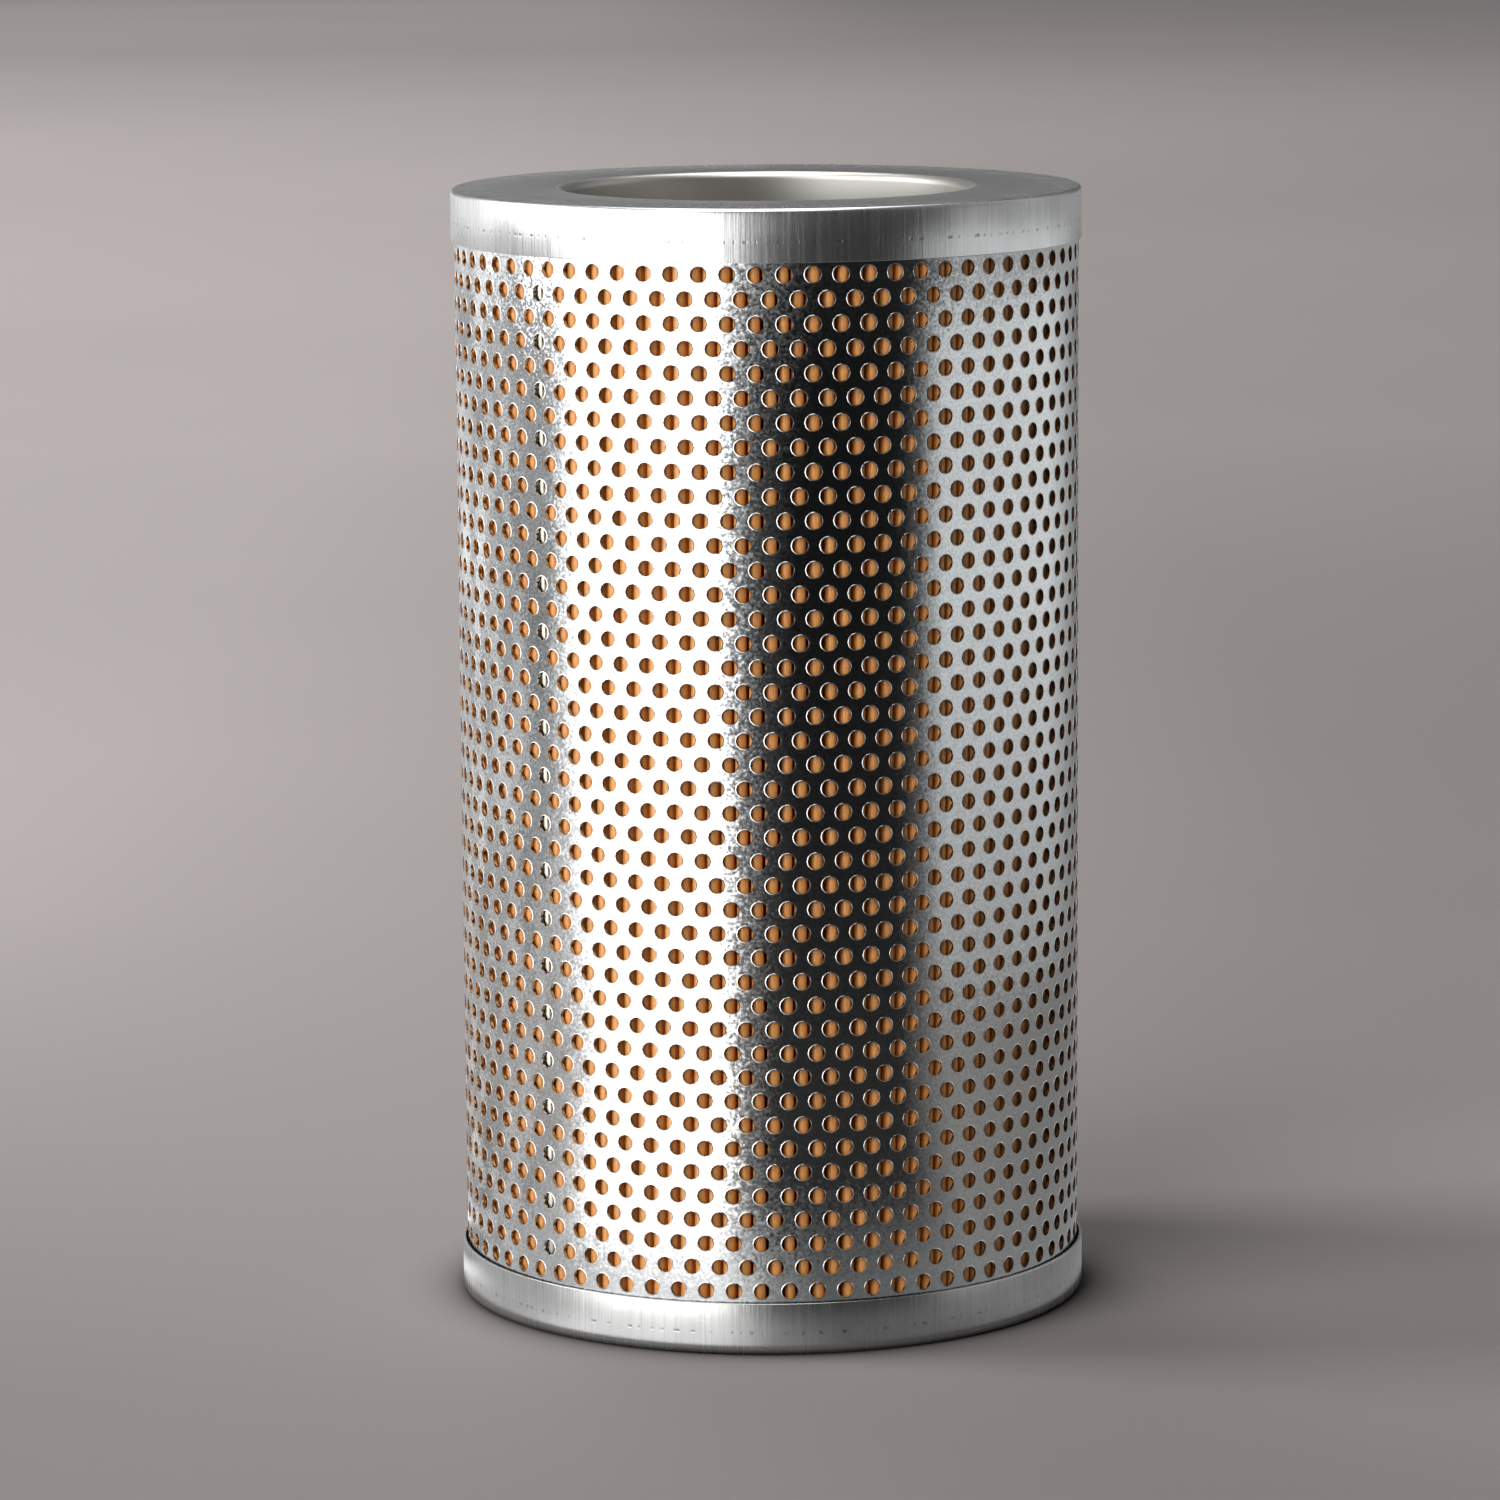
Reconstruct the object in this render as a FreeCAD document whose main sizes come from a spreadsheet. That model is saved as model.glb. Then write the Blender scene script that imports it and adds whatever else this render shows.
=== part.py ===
"""Replaceable filter element for a hydraulic oil housing.

Pleated paper is wound round a perforated centre tube and guarded by a
perforated outer tube. Drawn sheet-metal caps close both ends, and a ring of
cured adhesive under each cap seals the paper. The top cap's middle is turned
down into a neck, which slides over the outlet spigot of the housing. The
bottom cap is closed and has a raised middle that centres the tube.

Millimetres, +Z up, origin at the centre of the bottom face.
"""

import FreeCAD
import Part
import Sketcher
import math
import os

# alias, value, what it measures
SIZES = [
    ("overall_height", 246.0, "bottom face to top face"),
    ("tube_diameter", 137.0, "outside of the outer tube"),
    ("tube_sheet", 0.8, "outer tube, sheet thickness"),
    ("cap_sheet", 0.6, "both caps, sheet thickness"),
    ("top_slip", 0.1, "radial gap, outer tube to the top cap's skirt"),
    ("bottom_slip", 0.4, "radial gap, outer tube to the bottom cap's skirt"),
    ("skirt_depth", 11.4, "cap skirts, measured from the cap's face"),
    ("corner_radius", 1.0, "outside bend, cap face to skirt"),
    ("neck_bore", 88.9, "inside of the top cap's neck"),
    ("neck_depth", 9.0, "neck, measured from the top face"),
    ("lip_radius", 1.6, "outside bend, cap face to neck"),
    ("dish_height", 3.0, "raised middle of the bottom cap"),
    ("dish_chamfer", 0.5, "rounding of the raised middle's two rims"),
    ("core_slip", 0.2, "radial gap, neck and raised middle to centre tube"),
    ("core_sheet", 0.8, "centre tube, sheet thickness"),
    ("adhesive_depth", 4.0, "cured adhesive under each cap"),
    ("bond_line", 0.05, "radial gap, adhesive to the tubes"),
    ("pleat_count", 131, "folds of the paper, one of them the seam"),
    ("paper_thickness", 0.6, "filter paper"),
    ("seam_gap", 0.02, "half of the gap between the paper's two ends"),
    ("fold_clearance", 0.3, "radial gap, paper folds to both tubes"),
    ("clip_sheet", 0.4, "seam clip, strip thickness"),
    ("clip_slip", 0.3, "gap on each side, clip to the paper's two ends"),
    ("clip_legs", 7.0, "seam clip, depth of its legs"),
    ("clip_angle", -46.0, "seam clip, degrees about Z from the front"),
    ("guard_columns", 14, "columns round the outer tube, one of them the seam"),
    ("guard_row_pairs", 4, "pairs of staggered rows in the outer tube"),
    ("guard_opening", 18.1, "outer tube openings, across flats"),
    ("guard_edge", 0.6, "plain band, cap skirts to the outer tube's openings"),
    ("guard_seam_angle", 0.0, "outer tube's plain seam strip, degrees from the back"),
    ("core_columns", 7, "columns round the centre tube, one of them the seam"),
    ("core_row_pairs", 3, "pairs of staggered rows in the centre tube"),
    ("core_opening", 21.0, "centre tube openings, across flats"),
    ("core_edge", 20.0, "plain band, both faces of the filter to the centre tube's openings"),
    ("core_seam_angle", 0.0, "centre tube's plain seam strip, degrees from the back"),
]

doc = FreeCAD.newDocument("filter_element")
sheet = doc.addObject("Spreadsheet::Sheet", "Sizes")
for row, (alias, value, note) in enumerate(SIZES, start=1):
    sheet.set("A%d" % row, alias)
    sheet.set("B%d" % row, str(value))
    sheet.set("C%d" % row, note)
    sheet.setAlias("B%d" % row, alias)
doc.recompute()

# Places that several pieces share, as expressions on the sheet
TUBE_OUTSIDE = "Sizes.tube_diameter / 2"
TUBE_INSIDE = "(Sizes.tube_diameter / 2 - Sizes.tube_sheet)"
TOP_SKIRT_INSIDE = "(Sizes.tube_diameter / 2 + Sizes.top_slip)"
TOP_CAP_OUTSIDE = "(Sizes.tube_diameter / 2 + Sizes.top_slip + Sizes.cap_sheet)"
BOTTOM_SKIRT_INSIDE = "(Sizes.tube_diameter / 2 + Sizes.bottom_slip)"
BOTTOM_CAP_OUTSIDE = "(Sizes.tube_diameter / 2 + Sizes.bottom_slip + Sizes.cap_sheet)"
NECK_INSIDE = "Sizes.neck_bore / 2"
NECK_OUTSIDE = "(Sizes.neck_bore / 2 + Sizes.cap_sheet)"
CORE_INSIDE = "(Sizes.neck_bore / 2 + Sizes.cap_sheet + Sizes.core_slip)"
CORE_OUTSIDE = "(Sizes.neck_bore / 2 + Sizes.cap_sheet + Sizes.core_slip + Sizes.core_sheet)"
TOP = "Sizes.overall_height"
TOP_INSIDE = "(Sizes.overall_height - Sizes.cap_sheet)"
BOTTOM_INSIDE = "Sizes.cap_sheet"
PAPER_TOP = "(Sizes.overall_height - Sizes.cap_sheet - Sizes.adhesive_depth)"
PAPER_BOTTOM = "(Sizes.cap_sheet + Sizes.adhesive_depth)"


def size(expression):
    """The value of an expression on the sheet, as a plain number."""
    return float(sheet.evalExpression(expression))


def new_body(node):
    body = doc.addObject("PartDesign::Body", node)
    body.Label = node
    return body


def origin_part(body, role):
    """One of the body's own origin planes or axes, by its role."""
    return next(part for part in body.Origin.OriginFeatures if part.Role == role)


def closed_profile(body, name, plane, corners):
    """A sketch of straight lines from corner to corner, each corner an (x, y) pair of expressions."""
    sketch = body.newObject("Sketcher::SketchObject", name)
    sketch.AttachmentSupport = [(origin_part(body, plane), "")]
    sketch.MapMode = "FlatFace"
    points = [FreeCAD.Vector(size(x), size(y), 0) for x, y in corners]
    for start, end in zip(points, points[1:] + points[:1]):
        sketch.addGeometry(Part.LineSegment(start, end), False)
    for line in range(len(points)):
        sketch.addConstraint(Sketcher.Constraint("Coincident", line, 2, (line + 1) % len(points), 1))
    for line, (corner, point) in enumerate(zip(corners, points)):
        for kind, expression, value in (("DistanceX", corner[0], point.x), ("DistanceY", corner[1], point.y)):
            index = sketch.addConstraint(Sketcher.Constraint(kind, -1, 1, line, 1, value))
            sketch.setExpression("Constraints[%d]" % index, expression)
    return sketch


def turned(body, name, corners):
    """A section in the XZ plane, revolved about Z."""
    sketch = closed_profile(body, name + "_section", "XZ_Plane", corners)
    feature = body.newObject("PartDesign::Revolution", name)
    feature.Profile = sketch
    feature.ReferenceAxis = (sketch, ["V_Axis"])
    feature.Angle = 360
    sketch.Visibility = False
    doc.recompute()
    return feature


def rims(feature, places):
    """Names of the feature's round edges at the given (radius, height) pairs of expressions."""
    wanted = [(size(radius), size(height)) for radius, height in places]
    names = []
    for number, edge in enumerate(feature.Shape.Edges, start=1):
        if not isinstance(edge.Curve, Part.Circle):
            continue
        found = (edge.Curve.Radius, edge.Curve.Center.z)
        if any(math.dist(found, place) < 1e-6 for place in wanted):
            names.append("Edge%d" % number)
    return names


def rounded(body, name, base, radius, places):
    fillet = body.newObject("PartDesign::Fillet", name)
    fillet.Base = (base, rims(base, places))
    fillet.setExpression("Radius", radius)
    doc.recompute()
    return fillet


def bevelled(body, name, base, width, places):
    chamfer = body.newObject("PartDesign::Chamfer", name)
    chamfer.Base = (base, rims(base, places))
    chamfer.setExpression("Size", width)
    doc.recompute()
    return chamfer


def perforated(body, name, columns, row_pairs, opening, edge, seam_angle, inside, outside):
    """Staggered rows of six-sided openings through the wall of an upright tube.

    The rows fill the height between two plain bands. Every second row is turned by half a
    column, and each row leaves out one opening, so the sheet's seam runs down a plain strip.
    """
    half = "%s / 2" % opening
    tip = "%s / sqrt(3)" % opening
    first_row = "(%s + %s)" % (edge, tip)
    row_pitch = "((Sizes.overall_height - 2 * %s) / (2 * %s - 1))" % (first_row, row_pairs)
    start = "(%s - %s)" % (inside, half)
    pockets = []
    for kind, row, column in (("even_row", "0", "0.75"), ("odd_row", "1", "1.25")):
        middle = "(%s + %s * %s)" % (first_row, row, row_pitch)
        corners = [
            ("0", "%s + %s" % (middle, tip)),
            ("-%s" % half, "%s + %s / 2" % (middle, tip)),
            ("-%s" % half, "%s - %s / 2" % (middle, tip)),
            ("0", "%s - %s" % (middle, tip)),
            (half, "%s - %s / 2" % (middle, tip)),
            (half, "%s + %s / 2" % (middle, tip)),
        ]
        outline = closed_profile(body, "%s_%s_outline" % (name, kind), "XZ_Plane", corners)
        turn = "(180 + %s + %s * 360 / %s)" % (seam_angle, column, columns)
        offset = {
            "Base.x": "%s * sin(%s)" % (start, turn),
            "Base.z": "%s * cos(%s)" % (start, turn),
            "Rotation.Angle": turn,
        }
        outline.AttachmentOffset = FreeCAD.Placement(
            FreeCAD.Vector(size(offset["Base.x"]), 0, size(offset["Base.z"])),
            FreeCAD.Rotation(FreeCAD.Vector(0, 1, 0), size(turn)),
        )
        for property_name, expression in offset.items():
            outline.setExpression("AttachmentOffset." + property_name, expression)
        doc.recompute()

        volume = body.Tip.Shape.Volume
        pocket = body.newObject("PartDesign::Pocket", "%s_%s_opening" % (name, kind))
        pocket.Profile = outline
        pocket.Type = "Length"
        pocket.setExpression("Length", "%s + %s - %s" % (outside, half, start))
        pocket.Reversed = True
        outline.Visibility = False
        doc.recompute()
        if pocket.Shape.Volume > volume - 1:
            raise RuntimeError(name + ": the first opening cuts nothing")
        pockets.append(pocket)

    upward = body.newObject("PartDesign::LinearPattern", name + "_upward")
    upward.Direction = (origin_part(body, "Z_Axis"), [""])
    upward.Mode = "Spacing"
    upward.setExpression("Offset", "2 * %s" % row_pitch)
    upward.setExpression("Occurrences", row_pairs)
    around = body.newObject("PartDesign::PolarPattern", name + "_around")
    around.Axis = (origin_part(body, "Z_Axis"), [""])
    around.Mode = "Spacing"
    around.setExpression("Offset", "360 / %s" % columns)
    around.setExpression("Occurrences", "%s - 1" % columns)
    pattern = body.newObject("PartDesign::MultiTransform", name + "_openings")
    pattern.Originals = pockets
    pattern.Transformations = [upward, around]
    body.Tip = pattern
    doc.recompute()


def top_end_cap():
    """Drawn from one sheet: skirt, flat face, and the neck turned down through a rounded lip."""
    body = new_body("top_end_cap")
    neck_end = "(Sizes.overall_height - Sizes.neck_depth)"
    skirt_end = "(Sizes.overall_height - Sizes.skirt_depth)"
    cap = turned(
        body,
        "top_cap_blank",
        [
            (NECK_INSIDE, neck_end),
            (NECK_INSIDE, TOP),
            (TOP_CAP_OUTSIDE, TOP),
            (TOP_CAP_OUTSIDE, skirt_end),
            (TOP_SKIRT_INSIDE, skirt_end),
            (TOP_SKIRT_INSIDE, TOP_INSIDE),
            (NECK_OUTSIDE, TOP_INSIDE),
            (NECK_OUTSIDE, neck_end),
        ],
    )
    cap = bevelled(body, "neck_root", cap, "Sizes.lip_radius - Sizes.cap_sheet", [(NECK_OUTSIDE, TOP_INSIDE)])
    cap = rounded(body, "lip", cap, "Sizes.lip_radius", [(NECK_INSIDE, TOP)])
    cap = rounded(body, "top_corner", cap, "Sizes.corner_radius", [(TOP_CAP_OUTSIDE, TOP)])
    return body


def bottom_end_cap():
    """Drawn from one sheet: skirt, flat rim that the filter stands on, and the raised middle."""
    body = new_body("bottom_end_cap")
    dish_inside = "(Sizes.dish_height + Sizes.cap_sheet)"
    cap = turned(
        body,
        "bottom_cap_blank",
        [
            ("0", "Sizes.dish_height"),
            (NECK_INSIDE, "Sizes.dish_height"),
            (NECK_INSIDE, "0"),
            (BOTTOM_CAP_OUTSIDE, "0"),
            (BOTTOM_CAP_OUTSIDE, "Sizes.skirt_depth"),
            (BOTTOM_SKIRT_INSIDE, "Sizes.skirt_depth"),
            (BOTTOM_SKIRT_INSIDE, BOTTOM_INSIDE),
            (NECK_OUTSIDE, BOTTOM_INSIDE),
            (NECK_OUTSIDE, dish_inside),
            ("0", dish_inside),
        ],
    )
    cap = bevelled(body, "dish_rims", cap, "Sizes.dish_chamfer", [(NECK_INSIDE, "0"), (NECK_OUTSIDE, dish_inside)])
    cap = rounded(body, "bottom_corner", cap, "Sizes.corner_radius", [(BOTTOM_CAP_OUTSIDE, "0")])
    return body


def outer_tube():
    """Perforated guard, standing on both caps' flat faces inside their skirts."""
    body = new_body("outer_tube")
    turned(
        body,
        "guard_blank",
        [
            (TUBE_INSIDE, BOTTOM_INSIDE),
            (TUBE_OUTSIDE, BOTTOM_INSIDE),
            (TUBE_OUTSIDE, TOP_INSIDE),
            (TUBE_INSIDE, TOP_INSIDE),
        ],
    )
    perforated(
        body,
        "guard",
        "Sizes.guard_columns",
        "Sizes.guard_row_pairs",
        "Sizes.guard_opening",
        "(Sizes.skirt_depth + Sizes.guard_edge)",
        "Sizes.guard_seam_angle",
        TUBE_INSIDE,
        TUBE_OUTSIDE,
    )
    return body


def centre_tube():
    """Perforated core, centred by the neck above and by the bottom cap's raised middle below."""
    body = new_body("centre_tube")
    upper_end = "(Sizes.overall_height - Sizes.lip_radius)"
    turned(
        body,
        "core_blank",
        [
            (CORE_INSIDE, BOTTOM_INSIDE),
            (CORE_OUTSIDE, BOTTOM_INSIDE),
            (CORE_OUTSIDE, upper_end),
            (CORE_INSIDE, upper_end),
        ],
    )
    perforated(
        body,
        "core",
        "Sizes.core_columns",
        "Sizes.core_row_pairs",
        "Sizes.core_opening",
        "Sizes.core_edge",
        "Sizes.core_seam_angle",
        CORE_INSIDE,
        CORE_OUTSIDE,
    )
    return body


def adhesive_ring(node, low, high):
    """Cured adhesive in a cap's trough, between the two tubes."""
    body = new_body(node)
    inside = "(%s + Sizes.bond_line)" % CORE_OUTSIDE
    outside = "(%s - Sizes.bond_line)" % TUBE_INSIDE
    turned(body, node + "_ring", [(inside, low), (outside, low), (outside, high), (inside, high)])
    return body


def at(radius, angle, offset=0.0):
    """A point at a radius and an angle from the front, moved sideways by an offset."""
    along = FreeCAD.Vector(math.sin(angle), -math.cos(angle), 0)
    across = FreeCAD.Vector(math.cos(angle), math.sin(angle), 0)
    return along * radius + across * offset


def pleated_media():
    """Paper folded to and fro between the tubes, its two ends side by side under the seam clip.

    Each outer fold is two papers wide at its tip, and so is each inner fold.
    """
    paper = size("Sizes.paper_thickness")
    gap = size("Sizes.seam_gap")
    outer = size(TUBE_INSIDE + " - Sizes.fold_clearance")
    inner = size(CORE_OUTSIDE + " + Sizes.fold_clearance")
    seam = outer - size("Sizes.clip_sheet + Sizes.clip_slip")
    pleats = int(size("Sizes.pleat_count"))
    start = math.radians(size("Sizes.clip_angle"))
    pitch = 2 * math.pi / pleats

    dirty_side = [at(seam, start, paper + gap)]
    clean_side = [at(seam, start, gap)]
    for fold in range(pleats):
        valley = start + (fold + 0.5) * pitch
        crest = start + (fold + 1) * pitch
        dirty_side.append(at(inner + paper, valley))
        clean_side += [at(inner, valley, -paper), at(inner, valley, paper)]
        if fold < pleats - 1:
            dirty_side += [at(outer, crest, -paper), at(outer, crest, paper)]
            clean_side.append(at(outer - paper, crest))
    dirty_side.append(at(seam, start, -paper - gap))
    clean_side.append(at(seam, start, -gap))

    outline = dirty_side + clean_side[::-1]
    bottom = size(PAPER_BOTTOM)
    for corner in outline:
        corner.z = bottom
    face = Part.Face(Part.makePolygon(outline + outline[:1]))
    feature = doc.addObject("Part::Feature", "pleated_media")
    feature.Label = "pleated_media"
    feature.Shape = face.extrude(FreeCAD.Vector(0, 0, size(PAPER_TOP) - bottom))
    feature.Placement = FreeCAD.Placement()
    return feature


def media_seam_clip():
    """Bent strip over the paper's two ends, its back level with the outer folds."""
    body = new_body("media_seam_clip")
    back = "(%s - Sizes.fold_clearance)" % TUBE_INSIDE
    under_back = "(%s - Sizes.fold_clearance - Sizes.clip_sheet)" % TUBE_INSIDE
    leg_end = "(%s - Sizes.fold_clearance - Sizes.clip_legs)" % TUBE_INSIDE
    leg_inside = "(Sizes.paper_thickness + Sizes.clip_slip)"
    leg_outside = "(Sizes.paper_thickness + Sizes.clip_slip + Sizes.clip_sheet)"
    outline = closed_profile(
        body,
        "clip_section",
        "XY_Plane",
        [
            ("-%s" % leg_outside, "-%s" % leg_end),
            ("-%s" % leg_outside, "-%s" % back),
            (leg_outside, "-%s" % back),
            (leg_outside, "-%s" % leg_end),
            (leg_inside, "-%s" % leg_end),
            (leg_inside, "-%s" % under_back),
            ("-%s" % leg_inside, "-%s" % under_back),
            ("-%s" % leg_inside, "-%s" % leg_end),
        ],
    )
    strip = body.newObject("PartDesign::Pad", "clip_strip")
    strip.Profile = outline
    strip.setExpression("Length", "%s - %s" % (PAPER_TOP, PAPER_BOTTOM))
    outline.Visibility = False
    body.Placement = FreeCAD.Placement(
        FreeCAD.Vector(0, 0, size(PAPER_BOTTOM)), FreeCAD.Rotation(FreeCAD.Vector(0, 0, 1), size("Sizes.clip_angle"))
    )
    body.setExpression("Placement.Base.z", PAPER_BOTTOM)
    body.setExpression("Placement.Rotation.Angle", "Sizes.clip_angle")
    doc.recompute()
    return body


pieces = [
    top_end_cap(),
    bottom_end_cap(),
    outer_tube(),
    centre_tube(),
    adhesive_ring("top_adhesive", PAPER_TOP, TOP_INSIDE),
    adhesive_ring("bottom_adhesive", BOTTOM_INSIDE, PAPER_BOTTOM),
    pleated_media(),
    media_seam_clip(),
]
doc.recompute()

for thing in doc.Objects:
    if "Invalid" in thing.State or "Error" in thing.State:
        raise RuntimeError("%s failed: %s" % (thing.Label, thing.State))
for piece in pieces:
    if piece.Shape.isNull() or not piece.Shape.isValid() or len(piece.Shape.Solids) != 1:
        raise RuntimeError("%s is not one sound solid" % piece.Label)

os.makedirs("parts", exist_ok=True)
for piece in pieces:
    piece.Shape.exportStep("parts/%s.step" % piece.Label)
    box = piece.Shape.BoundBox
    print("%-16s %8.1f mm3  z %.2f to %.2f" % (piece.Label, piece.Shape.Volume, box.ZMin, box.ZMax))
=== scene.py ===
"""Looks of a pleated hydraulic filter element, dressed over its packed solids.

The outer tube gets its real perforation, the paper its rounded folds, the caps their drawn
corners and draw marks. Lengths are in metres, in the frame of the packed part: +Z up, the
photograph's side facing -Y.
"""

import math

import bmesh
import bpy
import numpy as np
from bpy.props import FloatProperty, FloatVectorProperty, IntProperty, PointerProperty
from bpy.types import Operator, Panel, PropertyGroup
from mathutils import Euler, Matrix, Vector


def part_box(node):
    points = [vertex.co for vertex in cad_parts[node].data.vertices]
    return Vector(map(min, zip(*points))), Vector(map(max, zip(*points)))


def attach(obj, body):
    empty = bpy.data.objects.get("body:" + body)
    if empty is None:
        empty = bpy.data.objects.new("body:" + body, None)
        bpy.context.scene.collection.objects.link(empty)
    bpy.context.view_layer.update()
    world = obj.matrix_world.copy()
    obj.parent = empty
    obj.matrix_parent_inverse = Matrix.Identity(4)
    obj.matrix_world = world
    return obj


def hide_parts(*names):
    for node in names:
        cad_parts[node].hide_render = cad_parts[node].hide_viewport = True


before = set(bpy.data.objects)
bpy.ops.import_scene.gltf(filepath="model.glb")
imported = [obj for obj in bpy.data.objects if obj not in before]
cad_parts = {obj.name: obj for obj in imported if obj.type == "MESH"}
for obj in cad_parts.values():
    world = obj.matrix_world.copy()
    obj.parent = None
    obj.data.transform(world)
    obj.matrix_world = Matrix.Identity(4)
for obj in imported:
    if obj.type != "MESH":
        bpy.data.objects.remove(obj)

bl_info = {
    "name": "Hydraulic filter element",
    "version": (1, 0, 0),
    "blender": (4, 5, 0),
    "location": "View3D > Sidebar > Filter",
    "description": "Dresses a packed filter element: perforated tubes, pleated paper, drawn caps and a stage",
    "category": "Object",
}

MM = 0.001
FULL_TURN = 2 * math.pi

# Boxes of the packed solids, from which the pieces take their outer radii and heights
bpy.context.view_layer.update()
TUBE_LOW, TUBE_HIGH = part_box("outer_tube")
CORE_LOW, CORE_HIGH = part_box("centre_tube")
PAPER_LOW, PAPER_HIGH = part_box("pleated_media")
TOP_CAP_LOW, TOP_CAP_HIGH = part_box("top_end_cap")
BOTTOM_CAP_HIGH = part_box("bottom_end_cap")[1]
PAPER_INNER = CORE_HIGH.x + 0.3 * MM

# Fineness of the meshes
WELD = 2e-6
RIM_SIDES = 12
CAP_SIDES = 192
PAPER_CUTS = 17

# Steps round a hole's rim next to a tube's end, on the face that shows (False) and on its back (True)
LOW_RIGHT = {False: (0, 11, 10, 9), True: (0, 11, 10, 8)}
LOW_LEFT = {False: (9, 8, 7, 6), True: (8, 6)}
HIGH_LEFT = {False: (6, 5, 4, 3), True: (6, 4)}
HIGH_RIGHT = {False: (3, 2, 1, 0), True: (4, 2, 0)}

# What like settings share
LENGTH = {"unit": "LENGTH", "precision": 5}
COLOUR = {"subtype": "COLOR", "min": 0, "max": 1}


# Settings that a user would change

class GuardTubeSettings(PropertyGroup):
    """Perforated outer tube"""

    sheet: FloatProperty(name="Sheet", description="Thickness of the sheet", default=0.8 * MM, **LENGTH)
    hole: FloatProperty(name="Hole", description="Diameter of the holes", default=3.5 * MM, **LENGTH)
    rim: FloatProperty(name="Rim", description="Width of each raised rim", default=0.19 * MM, **LENGTH)
    burr: FloatProperty(name="Burr", description="Height of each raised rim", default=0.08 * MM, **LENGTH)
    around: IntProperty(name="Columns", description="Hole pitches in one full turn", default=71, min=12)
    plain: IntProperty(name="Plain", description="Columns left out at the seam", default=2, min=1)
    rows: IntProperty(name="Rows", description="Staggered rows of holes, an odd number", default=43, min=3)
    row_pitch: FloatProperty(name="Row pitch", description="Height of one row", default=5.196 * MM, **LENGTH)
    first_turn: FloatProperty(
        name="First column",
        description="Turn of one hole of the even rows from the photographed side",
        default=math.radians(3.06),
        subtype="ANGLE",
    )
    colour: FloatVectorProperty(
        name="Colour", description="Zinc coating", default=(0.52, 0.53, 0.535), **COLOUR
    )


class CentreTubeSettings(PropertyGroup):
    """Perforated centre tube"""

    sheet: FloatProperty(name="Sheet", description="Thickness of the sheet", default=0.8 * MM, **LENGTH)
    hole: FloatProperty(name="Hole", description="Diameter of the holes", default=7.0 * MM, **LENGTH)
    rim: FloatProperty(name="Rim", description="Width of each raised rim", default=0.5 * MM, **LENGTH)
    burr: FloatProperty(name="Burr", description="Height of each raised rim", default=0.05 * MM, **LENGTH)
    around: IntProperty(name="Columns", description="Hole pitches in one full turn", default=20, min=12)
    plain: IntProperty(name="Plain", description="Columns left out at the seam", default=1, min=1)
    rows: IntProperty(name="Rows", description="Staggered rows of holes, an odd number", default=19, min=3)
    row_pitch: FloatProperty(name="Row pitch", description="Height of one row", default=11.8 * MM, **LENGTH)
    colour: FloatVectorProperty(
        name="Colour", description="Zinc coating", default=(0.44, 0.445, 0.43), **COLOUR
    )


class PaperSettings(PropertyGroup):
    """Pleated paper and its seam clip"""

    pleats: IntProperty(name="Pleats", description="Folds in one full turn", default=131, min=20)
    thickness: FloatProperty(name="Paper", description="Thickness of the paper", default=0.6 * MM, **LENGTH)
    crest: FloatProperty(name="Crest", description="Half an outer fold's width", default=1.27 * MM, **LENGTH)
    seam_turn: FloatProperty(
        name="Seam",
        description="Turn of the seam clip from the front",
        default=math.radians(-46.4),
        subtype="ANGLE",
    )
    clip_sheet: FloatProperty(name="Clip", description="Thickness of the clip", default=0.4 * MM, **LENGTH)
    clip_half: FloatProperty(
        name="Clip half width", description="Half width over the clip's legs", default=1.3 * MM, **LENGTH
    )
    clip_depth: FloatProperty(
        name="Clip depth", description="Depth of the clip's legs", default=7.0 * MM, **LENGTH
    )
    colour: FloatVectorProperty(
        name="Colour", description="Resin-soaked paper", default=(0.75, 0.32, 0.08), **COLOUR
    )
    clip_colour: FloatVectorProperty(
        name="Clip colour", description="Tinned strip", default=(0.30, 0.275, 0.235), **COLOUR
    )


class CapSettings(PropertyGroup):
    """Drawn end caps"""

    sheet: FloatProperty(name="Sheet", description="Thickness of the sheet", default=0.6 * MM, **LENGTH)
    corner: FloatProperty(
        name="Corner", description="Outside bend from face to skirt", default=1.0 * MM, **LENGTH
    )
    lip: FloatProperty(name="Lip", description="Outside bend from face to neck", default=1.8 * MM, **LENGTH)
    neck_radius: FloatProperty(
        name="Neck radius", description="Inside of the neck", default=44.45 * MM, **LENGTH
    )
    neck_depth: FloatProperty(
        name="Neck depth", description="Neck below the top face", default=9.0 * MM, **LENGTH
    )
    foot: FloatProperty(
        name="Foot", description="Outside bend at the bottom cap's foot", default=1.4 * MM, **LENGTH
    )
    dish: FloatProperty(
        name="Dish", description="Height of the bottom cap's raised middle", default=3.0 * MM, **LENGTH
    )
    colour: FloatVectorProperty(
        name="Colour", description="Zinc coating", default=(0.54, 0.545, 0.54), **COLOUR
    )


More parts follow.
